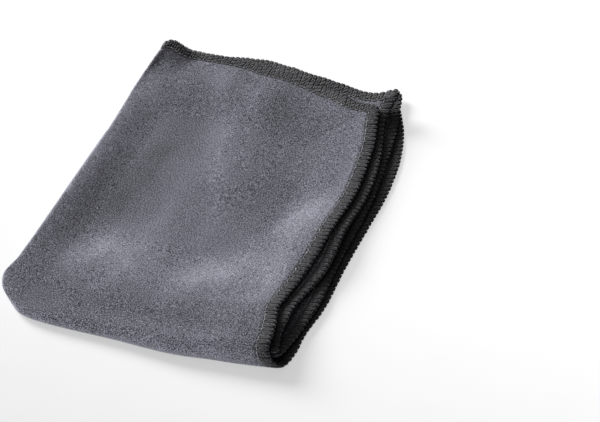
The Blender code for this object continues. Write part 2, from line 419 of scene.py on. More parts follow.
class FinishColours(bpy.types.PropertyGroup):
    """Colours of the cloth and its yarn."""

    fabric_dark: FloatVectorProperty(
        name="Fabric, dark", description="Colour between the fibres", subtype="COLOR",
        default=(0.040, 0.040, 0.048),
    )
    fabric_light: FloatVectorProperty(
        name="Fabric, light", description="Colour of the fibre tips", subtype="COLOR",
        default=(0.184, 0.183, 0.219),
    )
    yarn_dark: FloatVectorProperty(
        name="Yarn, dark", description="Colour in the yarn's grooves", subtype="COLOR",
        default=(0.014, 0.014, 0.016),
    )
    yarn_light: FloatVectorProperty(
        name="Yarn, light", description="Colour of the yarn", subtype="COLOR",
        default=(0.024, 0.024, 0.027),
    )
    # Painted highlight: the needle yarn is coloured far lighter than the bulky yarn, for the glints
    # its stitches catch
    needle_painted_highlight: FloatVectorProperty(
        name="Needle yarn", description="Colour of the needle yarn", subtype="COLOR",
        default=(0.380, 0.380, 0.405),
    )


class StudioSizes(bpy.types.PropertyGroup):
    """The floor, the light and the camera."""

    floor: FloatProperty(
        name="Floor", description="Side of the floor", default=12.0, unit="LENGTH"
    )
    key: FloatProperty(name="Key light", description="Strength of the large light", default=5.8)
    fill: FloatProperty(
        name="Fill light", description="Strength of the light all round", default=0.9
    )
    thrown: FloatProperty(
        name="Thrown light", description="Strength of the light that the floor throws back",
        default=7.0,
    )
    lens: FloatProperty(name="Lens", description="Focal length on a 36 mm sensor", default=133.74)
    distance: FloatProperty(
        name="Distance", description="From the camera to the point it looks at", default=1.2156,
        unit="LENGTH", precision=4,
    )
    elevation: FloatProperty(
        name="Elevation", description="Of the camera above the floor",
        default=math.radians(46.10), subtype="ANGLE",
    )
    azimuth: FloatProperty(
        name="Azimuth", description="How far the camera stands to the right of the front",
        default=math.radians(23.56), subtype="ANGLE",
    )
    roll: FloatProperty(
        name="Roll", description="How far the camera leans",
        default=math.radians(-2.93), subtype="ANGLE",
    )
    look_at: FloatVectorProperty(
        name="Looks at", description="The point in the middle of the picture",
        default=(0.0438, 0.0105, 0.0), subtype="TRANSLATION",
    )


def ease(t):
    """Rises smoothly from 0 to 1."""
    t = np.clip(t, 0.0, 1.0)
    return t * t * (3.0 - 2.0 * t)


def bell(offset, reach):
    """1 in the middle, fading to both sides."""
    return np.exp(-((offset / reach) ** 2))


def through(table, at):
    """A smooth curve through the rows of a table, read at the given places."""
    rows = np.asarray(table, float) * MM
    places, values = rows[:, 0], rows[:, 1]
    slopes = np.gradient(values, places)
    at = np.clip(at, places[0], places[-1])
    i = np.clip(np.searchsorted(places, at) - 1, 0, len(places) - 2)
    step = places[i + 1] - places[i]
    q = (at - places[i]) / step
    return (
        (2 * q**3 - 3 * q**2 + 1) * values[i]
        + (q**3 - 2 * q**2 + q) * step * slopes[i]
        + (3 * q**2 - 2 * q**3) * values[i + 1]
        + (q**3 - q**2) * step * slopes[i + 1]
    )


def slid(line, half, hem, shift):
    """Measures lines from the fold where it lies, and not from the cloth's middle."""
    return line - shift * ease(np.abs(line) / (half - hem))


class Packet:
    """The folded shape, which takes places on the flat cloth to places in the packet."""

    def __init__(self, sizes):
        self.half_width = 0.5 * sizes.width
        self.half_length = 0.5 * sizes.length
        self.sheet = sizes.thickness
        self.hem = sizes.hem_thickness
        self.hem_width = sizes.hem_width
        self.air = sizes.layer_air

    def hem_nearness(self, x, y):
        """1 where the hems lie on each other, 0 in the middle of the packet."""
        right = ease((x - HEM_RISE_X[0]) / (HEM_RISE_X[1] - HEM_RISE_X[0]))
        back = ease((y - HEM_RISE_Y[0]) / (HEM_RISE_Y[1] - HEM_RISE_Y[0]))
        return np.maximum(right, back)

    def layer_pitch(self, x, y):
        """Middle to middle of two layers that lie on each other."""
        return self.sheet + self.air + (self.hem - self.sheet) * self.hem_nearness(x, y)

    def left_fold_radius(self, y):
        """Bend of the left fold."""
        return through(LEFT_FOLD_LOOP, y)

    def pair_depth(self, x, y, lower):
        """From an outer layer to its inner layer."""
        hem_lift = 0.5 * (self.hem - self.sheet) * self.hem_nearness(x, y)
        far = self.layer_pitch(x, y) + lower * hem_lift
        flat = far + (through(FRONT_FOLD_DEPTH, x) - far) * bell(y, FRONT_FOLD_EASING)
        at_left = 2.0 * self.left_fold_radius(y)
        return at_left + (flat - at_left) * ease(x / LEFT_FOLD_EASING)

    def swelling(self, x, y):
        """How much higher the upper pair stands than its layers need."""
        total = 0.0
        for s in SWELLS:
            across = bell(x - s.x * MM, s.reach_x * MM)
            total = total + s.height * MM * across * bell(y - s.y * MM, s.reach_y * MM)
        return total

    def height(self, x, y):
        """From the lower outer layer to the upper outer layer."""
        pairs = self.pair_depth(x, y, 0.0) + self.pair_depth(x, y, 1.0)
        return pairs + self.layer_pitch(x, y) + self.swelling(x, y)

    def section(self, x, inward, lower):
        """Lines of the section at each x, from the front fold to the back: length, y, z."""
        x, inward, lower = x[:, None], inward[:, None], lower[:, None]
        bend = 0.5 * self.height(x, np.zeros_like(x))
        share = np.linspace(0.0, 1.0, CURVE_SAMPLES)[None, :]
        turn = np.clip(share / CURVE_TURN_SHARE, 0.0, 1.0) * math.pi / 2
        run = np.clip((share - CURVE_TURN_SHARE) / (1 - CURVE_TURN_SHARE), 0.0, 1.0)
        y = bend * (1 - np.cos(turn)) + run * CURVE_LENGTH
        half = 0.5 * self.height(x, y)
        side = 1.0 - 2.0 * lower
        z = 0.5 * self.sheet + half + side * half * np.sin(turn)

        along_y, along_z = np.gradient(y, axis=1), np.gradient(z, axis=1)
        length = np.hypot(along_y, along_z)
        depth = inward * self.pair_depth(x, y, lower)
        line_y = y + depth * side * along_z / length
        line_z = z - depth * side * along_y / length

        steps = np.hypot(np.diff(line_y, axis=1), np.diff(line_z, axis=1))
        start = np.zeros((len(steps), 1))
        return np.hstack([start, np.cumsum(steps, axis=1)]), line_y, line_z

    def outlined(self, x, y, z, along):
        """Moves the straight-sided packet to its own uneven outline."""
        low = ease((LOWER_SHIFT_STARTS - along) / LOWER_SHIFT_LENGTH)
        right_share, back_share = x / PACKET_WIDTH, y / PACKET_DEPTH
        upper_right, lower_right = through(UPPER_RIGHT_OUTLINE, y), through(LOWER_RIGHT_OUTLINE, y)
        upper_back, lower_back = through(UPPER_BACK_OUTLINE, x), through(LOWER_BACK_OUTLINE, x)
        right = (1 - low) * upper_right + low * lower_right
        back = (1 - low) * upper_back + low * lower_back
        corner_x = np.exp(-y / CORNER_ROUND - x / CORNER_REACH)
        corner_y = np.exp(-x / CORNER_ROUND - y / CORNER_REACH)
        shift_x = through(LEFT_OUTLINE, y) * (1 - right_share) + right * right_share
        shift_y = through(FRONT_OUTLINE, x) * (1 - back_share) + back * back_share
        new_x = x + LOWER_SHIFT * low + shift_x + CORNER_ROUND * corner_x
        new_y = y + shift_y + CORNER_ROUND * corner_y
        return np.column_stack([new_x - MIDDLE_X, new_y - MIDDLE_Y, z])

    def middle(self, u, v):
        """Places on the sheet's middle surface, for one block of points."""
        across = slid(u, self.half_width, self.hem_width, through(LEFT_FOLD_LINE, v))
        from_left = np.abs(across) / PACKET_WIDTH
        front_line = FRONT_FOLD_LINE[0] + (FRONT_FOLD_LINE[1] - FRONT_FOLD_LINE[0]) * from_left
        along = slid(v, self.half_length, self.hem_width, front_line)

        radius = self.left_fold_radius(np.abs(along))
        angle = np.clip(across / radius, -math.pi / 2, math.pi / 2)
        straight = np.clip(np.abs(across) - radius * math.pi / 2, 0.0, None)
        x = radius * (1 - np.cos(angle)) + straight
        inward = 0.5 * (1 - np.sin(angle))
        lower = (along < 0).astype(float)
        lengths, line_y, line_z = self.section(x, inward, lower)
        want = np.abs(along)
        y = np.array([np.interp(w, s, line) for w, s, line in zip(want, lengths, line_y)])
        z = np.array([np.interp(w, s, line) for w, s, line in zip(want, lengths, line_z)])

        edge = np.minimum(self.half_width - np.abs(u), self.half_length - np.abs(v))
        hemmed = 1 - ease((edge - self.hem_width) / HEM_STEP)
        on_floor = 0.5 * (self.hem - self.sheet) * hemmed * lower * (1 - inward)
        places = self.outlined(x, y, z + on_floor, along)
        for p in PULLS:
            share = bell(u - p.u * MM, p.reach_u * MM) * bell(v - p.v * MM, p.reach_v * MM)
            places = places + share[:, None] * np.array([p.right, p.back, p.up]) * MM
        return places

    def place(self, u, v):
        """Places on the sheet's middle surface."""
        u, v = np.asarray(u, float).ravel(), np.asarray(v, float).ravel()
        blocks = range(0, len(u), CURVE_BLOCK)
        return np.vstack([self.middle(u[i:i + CURVE_BLOCK], v[i:i + CURVE_BLOCK]) for i in blocks])

    def normal(self, u, v):
        """The way out of the sheet's upper face."""
        step = NORMAL_STEP
        by_u = self.place(u + step, v) - self.place(u - step, v)
        by_v = self.place(u, v + step) - self.place(u, v - step)
        out = np.cross(by_u, by_v)
        return out / np.linalg.norm(out, axis=1, keepdims=True)


def nap_and_painted_shading_at(x, y):
    """How light the nap marks, with their painted light and shade, make places in the packet's
    plan, seen from above.
    """
    total = 0.0
    for m in NAP_AND_PAINTED_SHADING_MARKS:
        turn = math.radians(m.turn)
        right, back = x - m.x * MM, y - m.y * MM
        along = right * math.cos(turn) + back * math.sin(turn)
        aside = back * math.cos(turn) - right * math.sin(turn)
        total = total + m.tone * bell(along, m.length * MM) * bell(aside, m.width * MM)
    return total


def half_lines(half, bend, steps, sizes):
    """Distances from a fold to the edge: close in the bend and in the hem."""
    hem = sizes.hem_width
    hem_starts = half - hem - EVEN_LINES_END * MM
    count = math.ceil((hem_starts - bend) / sizes.cell)
    fold = np.linspace(0.0, bend, steps + 1)
    flat = np.linspace(bend, hem_starts, count + 1)[1:]
    by_hem = hem + np.array(LINES_INSIDE_HEM) * MM
    by_rim = np.array(LINES_FROM_RIM) * MM
    return np.concatenate([fold, flat, half - by_hem, [half - 0.5 * hem], half - by_rim])


def grid_lines(half, bend, steps, sizes):
    """The same for both sides of a fold, the one side negative."""
    lines = half_lines(half, bend, steps, sizes)
    return np.concatenate([-lines[:0:-1], lines])


def rounded_corners(u, v, sizes):
    """Draws the square corners of the grid in to round ones."""
    corner = sizes.corner
    inner_u, inner_v = 0.5 * sizes.width - corner, 0.5 * sizes.length - corner
    over_u = np.clip(np.abs(u) - inner_u, 0.0, None)
    over_v = np.clip(np.abs(v) - inner_v, 0.0, None)
    reach = np.hypot(over_u, over_v)
    in_corner = (over_u > 0) & (over_v > 0)
    share = np.where(in_corner, np.maximum(over_u, over_v) / np.maximum(reach, 1e-12), 1.0)
    new_u = np.sign(u) * (np.minimum(np.abs(u), inner_u) + over_u * share)
    new_v = np.sign(v) * (np.minimum(np.abs(v), inner_v) + over_v * share)
    return new_u, new_v


def fabric_thickness(edge, sizes):
    """Thickness at a distance from the edge, where the rim is thin."""
    inside = edge - sizes.hem_width
    drawn = DRAWN_IN.share * bell(inside, DRAWN_IN.reach * MM)
    pressed = PRESSED.share * (1 - ease(inside / (PRESSED.reach * MM)))
    swollen = SWOLLEN.share * bell(inside - SWOLLEN.away * MM, SWOLLEN.reach * MM)
    body = sizes.thickness * (1 - drawn - pressed + swollen)
    return sizes.rim_thickness + (body - sizes.rim_thickness) * ease(edge / (RIM_REACH * MM))


def hem_path(run, inset, sizes):
    """Places on the flat cloth at a distance along its rounded rim and one in from it.

    Inwards the places draw together at a corner, where the stitches fan out.
    """
    corner, hem = sizes.corner, sizes.hem_width
    side_u, side_v = sizes.width - 2 * corner, sizes.length - 2 * corner
    arc = 0.5 * math.pi * corner
    legs = np.cumsum([side_v, arc, side_u, arc, side_v, arc, side_u, arc])
    starts = np.concatenate([[0.0], legs[:-1]])
    run = np.mod(run, legs[-1])
    leg = np.clip(np.searchsorted(legs, run, side="right"), 0, 7)
    done = run - starts[leg]
    inner_u, inner_v = 0.5 * side_u, 0.5 * side_v

    # Sides run up the right, leftwards along the back, down the left and back along the front
    turn = 0.5 * math.pi * (leg // 2) + np.where(leg % 2 == 1, done / corner, 0.0)
    out_u, out_v = np.cos(turn), np.sin(turn)
    side_leg = leg % 2 == 0
    centre_u = np.select(
        [leg == 0, leg == 2, leg == 4, leg == 6],
        [inner_u, inner_u - done, -inner_u, -inner_u + done],
        np.where((leg == 1) | (leg == 7), inner_u, -inner_u),
    )
    centre_v = np.select(
        [leg == 0, leg == 2, leg == 4, leg == 6],
        [-inner_v + done, inner_v, inner_v - done, -inner_v],
        np.where((leg == 1) | (leg == 3), inner_v, -inner_v),
    )
    rim_u, rim_v = centre_u + corner * out_u, centre_v + corner * out_v
    limit_u, limit_v = 0.5 * sizes.width - hem, 0.5 * sizes.length - hem
    needle_u = np.clip(rim_u - hem * out_u * side_leg, -limit_u, limit_u)
    needle_v = np.clip(rim_v - hem * out_v * side_leg, -limit_v, limit_v)
    share = inset / hem
    inwards = share > 0
    u = np.where(inwards, rim_u + (needle_u - rim_u) * share, rim_u - out_u * inset)
    v = np.where(inwards, rim_v + (needle_v - rim_v) * share, rim_v - out_v * inset)
    return u, v, out_u, out_v


def rim_length(sizes):
    """Length of the cloth's rounded rim."""
    straight = 2 * (sizes.width + sizes.length - 4 * sizes.corner)
    return straight + 2 * math.pi * sizes.corner


# One stitch of each yarn. step is along the hem in stitches, inset and height in
# millimetres from the rim and the sheet's middle, lean turns the yarn's flat side from
# the face, at 0, to the rim, at 90, and width is a share of the yarn's own
YarnPoint = namedtuple("YarnPoint", "step inset height lean width")
LOOPER_STITCH = (
    YarnPoint(0.00, 5.15, 0.45, 0, 0.75),
    YarnPoint(0.20, 4.75, 0.68, 0, 0.85),
    YarnPoint(0.27, 3.70, 0.80, 0, 1.00),
    YarnPoint(0.30, 1.70, 0.84, 0, 1.00),
    YarnPoint(0.32, 0.45, 0.72, 30, 1.00),
    YarnPoint(0.39, -0.30, 0.38, 65, 0.90),
    YarnPoint(0.50, -0.50, -0.06, 95, 0.85),
    YarnPoint(0.61, -0.30, 0.38, 65, 0.90),
    YarnPoint(0.68, 0.45, 0.72, 30, 1.00),
    YarnPoint(0.70, 1.70, 0.84, 0, 1.00),
    YarnPoint(0.73, 3.70, 0.80, 0, 1.00),
    YarnPoint(0.80, 4.75, 0.68, 0, 0.85),
)
NEEDLE_STITCH = (
    YarnPoint(0.00, 5.35, 0.20, 0, 1.0),
    YarnPoint(0.20, 5.45, 0.66, 0, 1.0),
    YarnPoint(0.50, 5.45, 0.82, 0, 1.1),
    YarnPoint(0.80, 5.45, 0.66, 0, 1.0),
)


def deselect_all():
    """Nothing stays selected, the frame's own objects neither."""
    bpy.ops.object.select_all(action="DESELECT")


def shown(name, vertices, faces, material):
    """A new smooth mesh object, linked to the scene."""
    data = bpy.data.meshes.new(name)
    data.from_pydata([tuple(p) for p in vertices], [], [tuple(int(i) for i in f) for f in faces])
    data.validate()
    data.shade_smooth()
    data.materials.append(material)
    piece = bpy.data.objects.new(name, data)
    bpy.context.scene.collection.objects.link(piece)
    return piece


def lay_sheet(sizes, material):
    """The sheet: a grid laid along the folds, thickened to a closed mesh."""
    packet = Packet(sizes)
    left_bend = float(through(LEFT_FOLD_LOOP, PACKET_DEPTH)) * math.pi / 2
    front_bend = 0.5 * float(packet.height(PACKET_WIDTH, 0.0)) * math.pi / 2
    columns = grid_lines(packet.half_width, left_bend, sizes.fold_steps, sizes)
    rows = grid_lines(packet.half_length, front_bend, 2 * sizes.fold_steps, sizes)
    wide, long = len(columns), len(rows)
    v, u = [a.ravel() for a in np.meshgrid(rows, columns, indexing="ij")]
    edge = np.minimum(packet.half_width - np.abs(u), packet.half_length - np.abs(v))
    thickness = fabric_thickness(edge, sizes)
    u, v = rounded_corners(u, v, sizes)

    first = (np.arange(long - 1)[:, None] * wide + np.arange(wide - 1)[None, :]).ravel()
    faces = np.column_stack([first, first + 1, first + wide + 1, first + wide])
    sheet = shown("microfibre_sheet", packet.place(u, v), faces, material)
    mesh = sheet.data

    corners = np.zeros(len(mesh.loops), np.int32)
    mesh.loops.foreach_get("vertex_index", corners)
    flat = mesh.uv_layers.new(name="flat")
    flat.data.foreach_set("uv", np.column_stack([u, v])[corners].ravel())
    hem = mesh.uv_layers.new(name="hem")
    along_hem = np.where(packet.half_width - np.abs(u) < packet.half_length - np.abs(v), v, u)
    hem.data.foreach_set("uv", np.column_stack([along_hem, edge])[corners].ravel())

    group = sheet.vertex_groups.new(name="thickness")
    for index, value in enumerate(thickness / sizes.thickness):
        group.add([index], float(value), "REPLACE")
    # The "nap" attribute holds the nap marks with their painted light and painted shade, on the
    # upper outer layer only
    nap = mesh.attributes.new("nap", "FLOAT", "POINT")
    spot = packet.place(u, v) + np.array([MIDDLE_X, MIDDLE_Y, 0.0])
    upper = ((u > 0) & (v > 0)).astype(float)
    nap.data.foreach_set("value", (nap_and_painted_shading_at(spot[:, 0], spot[:, 1]) * upper).astype(np.float32))

    deselect_all()
    sheet.select_set(True)
    bpy.context.view_layer.objects.active = sheet
    solid = sheet.modifiers.new("thickness", "SOLIDIFY")
    solid.thickness = sizes.thickness
    solid.offset = 0.0
    solid.vertex_group = group.name
    bpy.ops.object.modifier_apply(modifier=solid.name)
    sheet.vertex_groups.clear()
    return sheet


def sew(name, stitch, face, phase, sizes, yarn, half_width, half_height, material, seed):
    """A yarn all round the hem: one stitch, repeated, and joined end to end.

    face is 1 on the sheet's upper face and -1 on its under face. phase is where the
    yarn's first stitch starts, in stitches.
    """
    packet = Packet(sizes)
    dice = np.random.default_rng(seed)
    rim = rim_length(sizes)
    count = round(rim / yarn.pitch)
    pitch = rim / count
    row = np.array(stitch, float)
    points = len(row)
    uneven = yarn.unevenness

    def varied(scale):
        """Each stitch's own difference, for all its points."""
        return np.repeat(dice.normal(0.0, scale * uneven, count), points)

    step = np.tile(row[:, 0], count) + np.repeat(np.arange(count), points) + phase
    step = step + np.tile(row[:, 1] / row[:, 1].max(), count) * varied(STEP_DIFFERS)
    inset = np.tile(row[:, 1], count) * MM
    outer = 1 - ease(inset / RIM_BAND)
    inset = inset - outer * np.abs(varied(RIM_DIFFERS)) * LOOP_REACH
    height = np.tile(row[:, 2], count) * MM * (1 + varied(HEIGHT_DIFFERS))
    lean = np.radians(np.tile(row[:, 3], count))
    width = np.tile(row[:, 4], count) * half_width * (1 + varied(WIDTH_DIFFERS))

    u, v, out_u, out_v = hem_path(step * pitch, inset, sizes)
    normal = packet.normal(u, v) * face
    middle = packet.place(u, v)
    outward = packet.place(u + out_u * NORMAL_STEP, v + out_v * NORMAL_STEP) - middle
    outward = outward / np.linalg.norm(outward, axis=1, keepdims=True)
    line = middle + normal * height[:, None]

    tangent = np.roll(line, -1, axis=0) - np.roll(line, 1, axis=0)
    up = normal * np.cos(lean)[:, None] + outward * np.sin(lean)[:, None]
    side = np.cross(tangent, up)
    side = side / np.linalg.norm(side, axis=1, keepdims=True)
    up = np.cross(side, tangent)
    up = up / np.linalg.norm(up, axis=1, keepdims=True)

    sides = yarn.sides
    angle = 2 * math.pi * np.arange(sides) / sides
    ring = (
        line[:, None, :]
        + side[:, None, :] * (np.cos(angle)[None, :, None] * width[:, None, None])
        + up[:, None, :] * (np.sin(angle)[None, :, None] * half_height)
    )
    rings = len(line)
    here = np.arange(rings)[:, None] * sides + np.arange(sides)[None, :]
    beside = np.roll(here, -1, axis=1)
    ahead = np.roll(here, -1, axis=0)
    faces = np.stack([here, beside, np.roll(ahead, -1, axis=1), ahead], axis=-1).reshape(-1, 4)
    piece = shown(name, ring.reshape(-1, 3), faces, material)

    lengths = np.linalg.norm(np.roll(line, -1, axis=0) - line, axis=1)
    ends = np.cumsum(lengths)
    begins = ends - lengths
    around = np.arange(sides) / sides
    uv = np.zeros((rings, sides, 4, 2))
    uv[:, :, (0, 1), 0] = begins[:, None, None]
    uv[:, :, (2, 3), 0] = ends[:, None, None]
    uv[:, :, (0, 3), 1] = around[None, :, None]
    uv[:, :, (1, 2), 1] = around[None, :, None] + 1 / sides
    piece.data.uv_layers.new(name="yarn").data.foreach_set("uv", uv.ravel())
    return piece


def new_group(name, inputs, outputs):
    """An empty node group with its sockets, and its two end nodes."""
    tree = bpy.data.node_groups.new(name, "ShaderNodeTree")
    for label, kind, value in inputs:
        socket = tree.interface.new_socket(name=label, in_out="INPUT", socket_type=kind)
        if value is not None:
            socket.default_value = value
    for label, kind in outputs:
        tree.interface.new_socket(name=label, in_out="OUTPUT", socket_type=kind)
    return tree, tree.nodes.new("NodeGroupInput"), tree.nodes.new("NodeGroupOutput")


def feed(tree, socket, value):
    """Gives a node's input a value, or links it to another node's output."""
    if isinstance(value, bpy.types.NodeSocket):
        tree.links.new(value, socket)
    elif value is not None:
        socket.default_value = value


def maths(tree, operation, first, second=None, third=None):
    """A Math node; each input is a socket or a number."""
    node = tree.nodes.new("ShaderNodeMath")
    node.operation = operation
    for socket, value in zip(node.inputs, (first, second, third)):
        feed(tree, socket, value)
    return node.outputs[0]


def noise(tree, vector, scale, detail=2.0, roughness=0.5):
    """A soft random pattern."""
    node = tree.nodes.new("ShaderNodeTexNoise")
    tree.links.new(vector, node.inputs["Vector"])
    for label, value in (("Scale", scale), ("Detail", detail), ("Roughness", roughness)):
        feed(tree, node.inputs[label], value)
    return node.outputs["Fac"]


def stretched(tree, vector, scale):
    """Coordinates with a scale of their own along each axis."""
    node = tree.nodes.new("ShaderNodeMapping")
    tree.links.new(vector, node.inputs["Vector"])
    node.inputs["Scale"].default_value = scale
    return node.outputs["Vector"]


def ranged(tree, value, low, high, to_low, to_high):
    """Moves values from one range to another, and no further."""
    node = tree.nodes.new("ShaderNodeMapRange")
    tree.links.new(value, node.inputs["Value"])
    limits = {"From Min": low, "From Max": high, "To Min": to_low, "To Max": to_high}
    for label, limit in limits.items():
        feed(tree, node.inputs[label], limit)
    return node.outputs["Result"]


def spread(tree, pattern, to_low=-1.0, to_high=1.0):
    """Spreads a noise over a range, as a rule about nought."""
    return ranged(tree, pattern, NOISE_LOW, NOISE_HIGH, to_low, to_high)


def fibre_grain():
    """Fine speckle of fibre ends, in two sizes."""
    name = "fibre grain"
    if name in bpy.data.node_groups:
        return bpy.data.node_groups[name]
    tree, start, end = new_group(
        name,
        [("Vector", "NodeSocketVector", None), ("Scale", "NodeSocketFloat", FABRIC_GRAIN)],
        [("Grain", "NodeSocketFloat"), ("Height", "NodeSocketFloat")],
    )
    vector, scale = start.outputs["Vector"], start.outputs["Scale"]
    coarse = noise(tree, vector, scale, detail=2.0, roughness=0.5)
    fine_scale = maths(tree, "MULTIPLY", scale, FINE_GRAIN_TIMES)
    fine = noise(tree, vector, fine_scale, detail=2.0, roughness=0.6)
    coarse = maths(tree, "MULTIPLY", coarse, 1 - FINE_GRAIN_SHARE)
    both = maths(tree, "MULTIPLY_ADD", fine, FINE_GRAIN_SHARE, coarse)
    tree.links.new(ranged(tree, both, GRAIN_LOW, GRAIN_HIGH, 0.0, 1.0), end.inputs["Grain"])
    tree.links.new(both, end.inputs["Height"])
    return tree


def placed(tree, group, vector, scale):
    """A node group in a material, with its own vector and scale."""
    node = tree.nodes.new("ShaderNodeGroup")
    node.node_tree = group
    tree.links.new(vector, node.inputs["Vector"])
    node.inputs["Scale"].default_value = scale
    return node


def blank_material(name):
    """A material with its nodes and its shader."""
    material = bpy.data.materials.new(name)
    material.use_nodes = True
    tree = material.node_tree
    return material, tree, tree.nodes["Principled BSDF"]


def mixed(tree, share, first, second, beyond=False):
    """Mixes two colours; the second is a socket or a colour. beyond lets the share pass 1."""
    node = tree.nodes.new("ShaderNodeMix")
    node.data_type = "RGBA"
    node.clamp_factor = not beyond
    tree.links.new(share, node.inputs["Factor"])
    node.inputs[6].default_value = (*first, 1.0)
    is_colour = not isinstance(second, bpy.types.NodeSocket)
    feed(tree, node.inputs[7], (*second, 1.0) if is_colour else second)
    return node.outputs[2]


def bumped(tree, height, strength, distance, below=None):
    """Normals from a height pattern, over those of a coarser one."""
    node = tree.nodes.new("ShaderNodeBump")
    tree.links.new(height, node.inputs["Height"])
    node.inputs["Strength"].default_value = strength
    node.inputs["Distance"].default_value = distance
    if below is not None:
        tree.links.new(below, node.inputs["Normal"])
    return node.outputs["Normal"]


def needle_holes(tree, sizes, yarn):
    """Depth of the line that the needle pinches inside the hem, deepest at its holes."""
    hem = tree.nodes.new("ShaderNodeUVMap")
    hem.uv_map = "hem"
    parts = tree.nodes.new("ShaderNodeSeparateXYZ")
    tree.links.new(hem.outputs["UV"], parts.inputs["Vector"])
    run = maths(tree, "DIVIDE", parts.outputs["X"], yarn.pitch)
    beat = maths(tree, "COSINE", maths(tree, "MULTIPLY", run, 2 * math.pi))
    off_line = maths(tree, "SUBTRACT", parts.outputs["Y"], sizes.hem_width + HOLES_INSIDE_HEM)
    squared = maths(tree, "MULTIPLY", off_line, off_line)
    pinch = maths(tree, "EXPONENT", maths(tree, "DIVIDE", squared, -(HOLES_REACH**2)))
    return maths(tree, "MULTIPLY", pinch, maths(tree, "MULTIPLY_ADD", beat, HOLES_BEAT, HOLES_EVEN))


def fabric_finish(sizes, yarn, colours):
    """Grey suede-like microfibre with a short nap."""
    material, tree, shader = blank_material("microfibre suede")
    spot = tree.nodes.new("ShaderNodeTexCoord").outputs["Object"]
    flat = tree.nodes.new("ShaderNodeUVMap")
    flat.uv_map = "flat"
    # The "nap" attribute: nap marks together with painted light and painted shade
    nap_and_painted_shading_marks = tree.nodes.new("ShaderNodeAttribute")
    nap_and_painted_shading_marks.attribute_name = "nap"

    grain = placed(tree, fibre_grain(), spot, FABRIC_GRAIN)
    fibres = noise(tree, stretched(tree, flat.outputs["UV"], FABRIC_FIBRES), 1.0)
    clouds = noise(tree, spot, FABRIC_CLOUDS, detail=3.0)
    mottle = noise(tree, spot, FABRIC_MOTTLE, detail=3.0, roughness=0.6)
    breaks = spread(tree, noise(tree, stretched(tree, spot, NAP_AND_PAINTED_SHADING_BREAKS), 1.0), 0.55, 1.35)
    nap_and_painted_shading_streaks = maths(tree, "MULTIPLY", nap_and_painted_shading_marks.outputs["Fac"], breaks)
    holes = needle_holes(tree, sizes, yarn)

    tone = maths(tree, "MULTIPLY_ADD", grain.outputs["Grain"], GRAIN_TONE, GRAIN_BASE)
    tone = maths(tree, "MULTIPLY_ADD", fibres, FIBRE_TONE, tone)
    tone = maths(tree, "MULTIPLY_ADD", spread(tree, clouds), CLOUD_TONE, tone)
    tone = maths(tree, "MULTIPLY_ADD", spread(tree, mottle), MOTTLE_TONE, tone)
    # Painted light and painted shade, with the nap's own streaks, lighten and darken the fabric
    # here
    tone = maths(tree, "MULTIPLY_ADD", nap_and_painted_shading_streaks, NAP_AND_PAINTED_SHADING_TONE, tone)
    # Painted shade along the needle line, darkest at the holes, where the pinched groove lies
    tone = maths(tree, "MULTIPLY_ADD", holes, NEEDLE_LINE_PAINTED_SHADE, tone)
    tone = maths(tree, "MAXIMUM", tone, DARKEST)
    colour = mixed(tree, tone, colours.fabric_dark, colours.fabric_light, beyond=True)
    tree.links.new(colour, shader.inputs["Base Color"])
    rough = ranged(tree, grain.outputs["Grain"], 0.0, 1.0, 1.0, 0.82)
    tree.links.new(rough, shader.inputs["Roughness"])

    soft = bumped(tree, mottle, strength=0.25, distance=0.8 * MM)
    raised = maths(tree, "MULTIPLY", holes, -1.0)
    pinched = bumped(tree, raised, strength=0.5, distance=0.4 * MM, below=soft)
    nap = bumped(tree, grain.outputs["Height"], strength=0.55, distance=0.5 * MM, below=pinched)
    tree.links.new(nap, shader.inputs["Normal"])
    shader.inputs["Specular IOR Level"].default_value = 0.18
    shader.inputs["Sheen Weight"].default_value = 0.85
    shader.inputs["Sheen Roughness"].default_value = 0.36
    shader.inputs["Sheen Tint"].default_value = (0.79, 0.79, 0.88, 1.0)
    return material


def yarn_finish(name, dark, light, strands):
    """Charcoal yarn: twisted strands of fine filaments."""
    material, tree, shader = blank_material(name)
    spot = tree.nodes.new("ShaderNodeTexCoord").outputs["Object"]
    yarn = tree.nodes.new("ShaderNodeUVMap")
    yarn.uv_map = "yarn"
    parts = tree.nodes.new("ShaderNodeSeparateXYZ")
    tree.links.new(yarn.outputs["UV"], parts.inputs["Vector"])
    grain = placed(tree, fibre_grain(), spot, YARN_GRAIN)
    wander = maths(tree, "MULTIPLY", noise(tree, spot, YARN_CLOUDS), TWIST_WANDER)

    turns = maths(tree, "MULTIPLY_ADD", parts.outputs["X"], YARN_TWISTS, wander)
    around = maths(tree, "MULTIPLY_ADD", parts.outputs["Y"], float(strands), turns)
    twist = maths(tree, "SINE", maths(tree, "MULTIPLY", around, 2 * math.pi))
    along = stretched(tree, yarn.outputs["UV"], YARN_FILAMENTS)
    filaments = noise(tree, along, 1.0, detail=3.0)
    speckle = ranged(tree, grain.outputs["Grain"], 0.0, 1.0, -1.0, 1.0)

    tone = maths(tree, "MULTIPLY_ADD", twist, TWIST_TONE, YARN_BASE)
    tone = maths(tree, "MULTIPLY_ADD", spread(tree, filaments), FILAMENT_TONE, tone)
    tone = maths(tree, "MULTIPLY_ADD", speckle, YARN_GRAIN_TONE, tone)
    tree.links.new(mixed(tree, tone, dark, light), shader.inputs["Base Color"])
    tree.links.new(spread(tree, filaments, 0.78, 0.5), shader.inputs["Roughness"])

    strand = bumped(tree, twist, strength=0.7, distance=0.20 * MM)
    fine = bumped(tree, filaments, strength=0.8, distance=0.25 * MM, below=strand)
    tree.links.new(fine, shader.inputs["Normal"])
    shader.inputs["Specular IOR Level"].default_value = 0.35
    shader.inputs["Sheen Weight"].default_value = 0.30
    shader.inputs["Sheen Roughness"].default_value = 0.4
    shader.inputs["Sheen Tint"].default_value = (0.7, 0.7, 0.74, 1.0)
    return material


